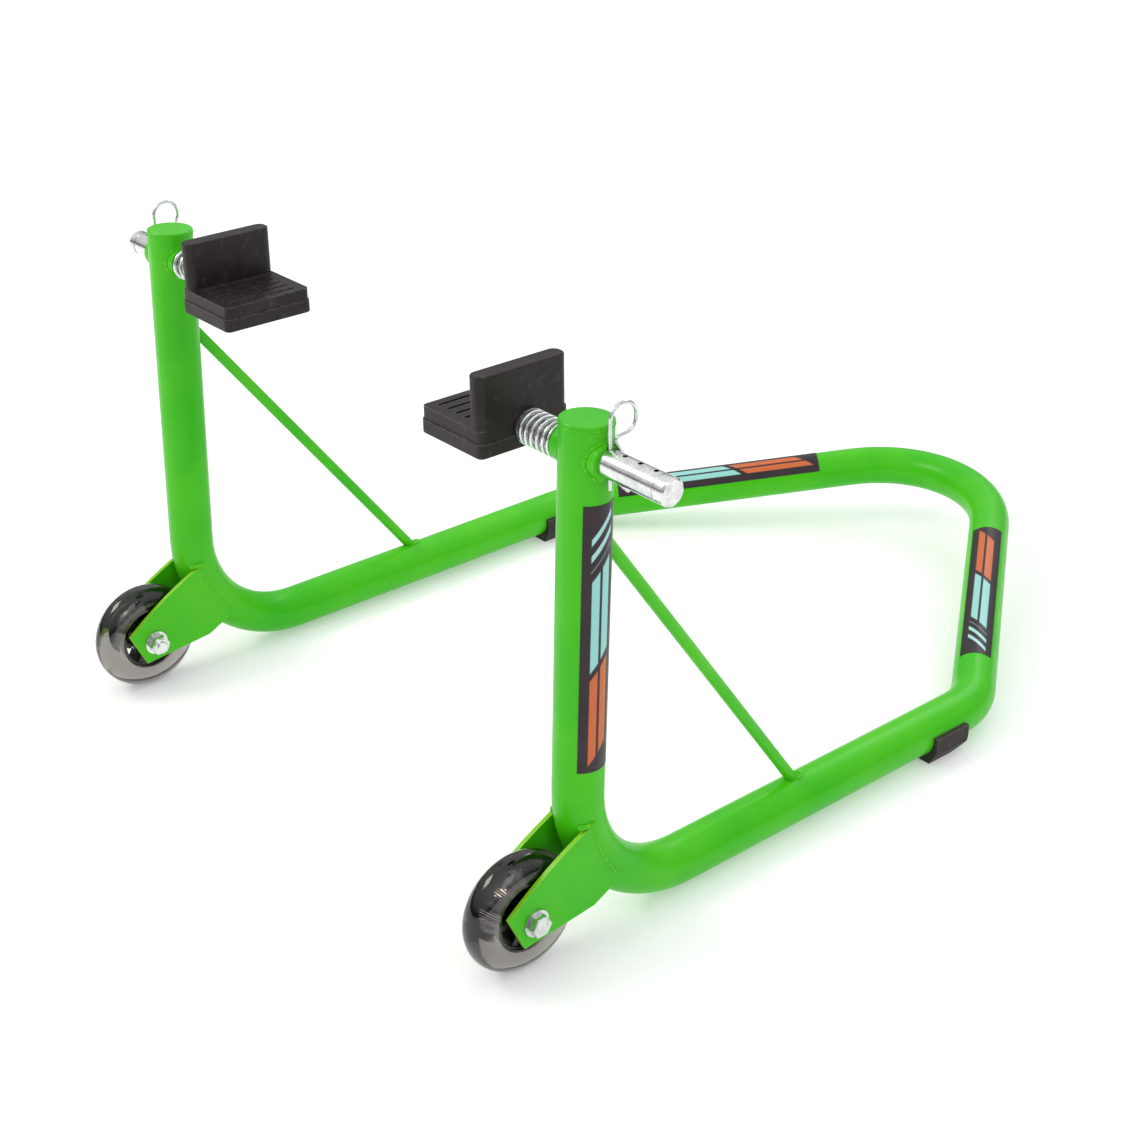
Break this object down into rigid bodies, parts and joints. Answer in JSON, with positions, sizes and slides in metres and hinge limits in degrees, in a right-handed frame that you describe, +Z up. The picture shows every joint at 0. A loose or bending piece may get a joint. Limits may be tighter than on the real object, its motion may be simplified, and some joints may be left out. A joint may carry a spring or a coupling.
{
  "type": "motorcycle paddock stand",
  "caption": "Rear wheel lift stand: one bent tube on skate wheels and rubber feet, with sprung swivelling rubber cradles on pins.",
  "frame": {"origin": "on the floor, below the middle of the stand's overall length and width", "axes": "+X to the right seen from the wheels, +Y from the wheels to the handle, +Z up"},
  "size_m": [0.568, 0.7104, 0.3617],
  "materials": {
    "green_enamel": "gloss",
    "zinc_plate": "satin",
    "bearing_steel": "gloss",
    "spring_steel": "satin",
    "black_rubber": "matt",
    "smoky_tyre": "gloss",
    "hub_plastic": "gloss",
    "cage_nylon": "matt",
    "decal_film": "gloss"
  },
  "bodies": {
    "frame": {"main_tube": "green_enamel", "left_top_cap": "green_enamel", "left_pin_sleeve": "green_enamel", "left_brace": "green_enamel", "left_outer_fork_plate": "green_enamel", "left_inner_fork_plate": "green_enamel", "left_rubber_foot": "black_rubber", "left_upright_decal": "decal_film", "left_handle_decal": "decal_film", "left_bearing_inner_rings": "bearing_steel", "left_bearing_spacer": "zinc_plate", "left_side_spacers": "zinc_plate", "left_axle_washers": "zinc_plate", "left_axle_bolt": "zinc_plate", "left_axle_nut": "zinc_plate", "left_spring": "spring_steel", "right_top_cap": "green_enamel", "right_pin_sleeve": "green_enamel", "right_brace": "green_enamel", "right_outer_fork_plate": "green_enamel", "right_inner_fork_plate": "green_enamel", "right_rubber_foot": "black_rubber", "right_upright_decal": "decal_film", "right_handle_decal": "decal_film", "right_bearing_inner_rings": "bearing_steel", "right_bearing_spacer": "zinc_plate", "right_side_spacers": "zinc_plate", "right_axle_washers": "zinc_plate", "right_axle_bolt": "zinc_plate", "right_axle_nut": "zinc_plate", "right_spring": "spring_steel"},
    "left_wheel": {"left_tyre": "smoky_tyre", "left_hub": "hub_plastic", "left_bearing_outer_rings": "bearing_steel", "left_bearing_shields": "zinc_plate"},
    "left_ball_cage": {"left_bearing_balls": "bearing_steel", "left_bearing_cages": "cage_nylon"},
    "left_arm": {"left_spring_washer": "zinc_plate"},
    "left_cradle": {"left_support_pin": "zinc_plate", "left_l_bracket": "zinc_plate", "left_cradle_boot": "black_rubber"},
    "left_clip": {"left_r_clip": "zinc_plate"},
    "right_wheel": {"right_tyre": "smoky_tyre", "right_hub": "hub_plastic", "right_bearing_outer_rings": "bearing_steel", "right_bearing_shields": "zinc_plate"},
    "right_ball_cage": {"right_bearing_balls": "bearing_steel", "right_bearing_cages": "cage_nylon"},
    "right_arm": {"right_spring_washer": "zinc_plate"},
    "right_cradle": {"right_support_pin": "zinc_plate", "right_l_bracket": "zinc_plate", "right_cradle_boot": "black_rubber"},
    "right_clip": {"right_r_clip": "zinc_plate"}
  },
  "joints": [
    {"name": "left_wheel_spin", "type": "hinge", "parent": "frame", "child": "left_wheel", "pos_m": [-0.238, -0.31518, 0.04], "axis": [1, 0, 0], "continuous": true},
    {"name": "left_ball_orbit", "type": "hinge", "parent": "frame", "child": "left_ball_cage", "pos_m": [-0.238, -0.31518, 0.04], "axis": [1, 0, 0], "continuous": true},
    {"name": "left_arm_slide", "type": "slide", "parent": "frame", "child": "left_arm", "axis": [-1, 0, 0], "range_m": [0, 0.036], "stiffness_N_per_m": 6900, "deforming": ["left_spring"]},
    {"name": "left_cradle_swivel", "type": "hinge", "parent": "left_arm", "child": "left_cradle", "pos_m": [-0.238, -0.26107, 0.3248], "axis": [1, 0, 0], "continuous": true},
    {"name": "left_r_clip_pull", "type": "slide", "parent": "left_cradle", "child": "left_clip", "axis": [0, 0, 1], "range_m": [0, 0.03], "deforming": ["left_r_clip"]},
    {"name": "right_wheel_spin", "type": "hinge", "parent": "frame", "child": "right_wheel", "pos_m": [0.213, -0.31518, 0.04], "axis": [1, 0, 0], "continuous": true},
    {"name": "right_ball_orbit", "type": "hinge", "parent": "frame", "child": "right_ball_cage", "pos_m": [0.213, -0.31518, 0.04], "axis": [1, 0, 0], "continuous": true},
    {"name": "right_arm_slide", "type": "slide", "parent": "frame", "child": "right_arm", "axis": [1, 0, 0], "range_m": [0, 0.011], "stiffness_N_per_m": 6900, "deforming": ["right_spring"]},
    {"name": "right_cradle_swivel", "type": "hinge", "parent": "right_arm", "child": "right_cradle", "pos_m": [0.213, -0.26107, 0.3248], "axis": [1, 0, 0], "continuous": true},
    {"name": "right_r_clip_pull", "type": "slide", "parent": "right_cradle", "child": "right_clip", "axis": [0, 0, 1], "range_m": [0, 0.03], "deforming": ["right_r_clip"]}
  ],
  "couplings": [
    {"joint": "left_ball_orbit", "follows": "left_wheel_spin", "ratio": 0.628},
    {"joint": "right_ball_orbit", "follows": "right_wheel_spin", "ratio": 0.628}
  ]
}
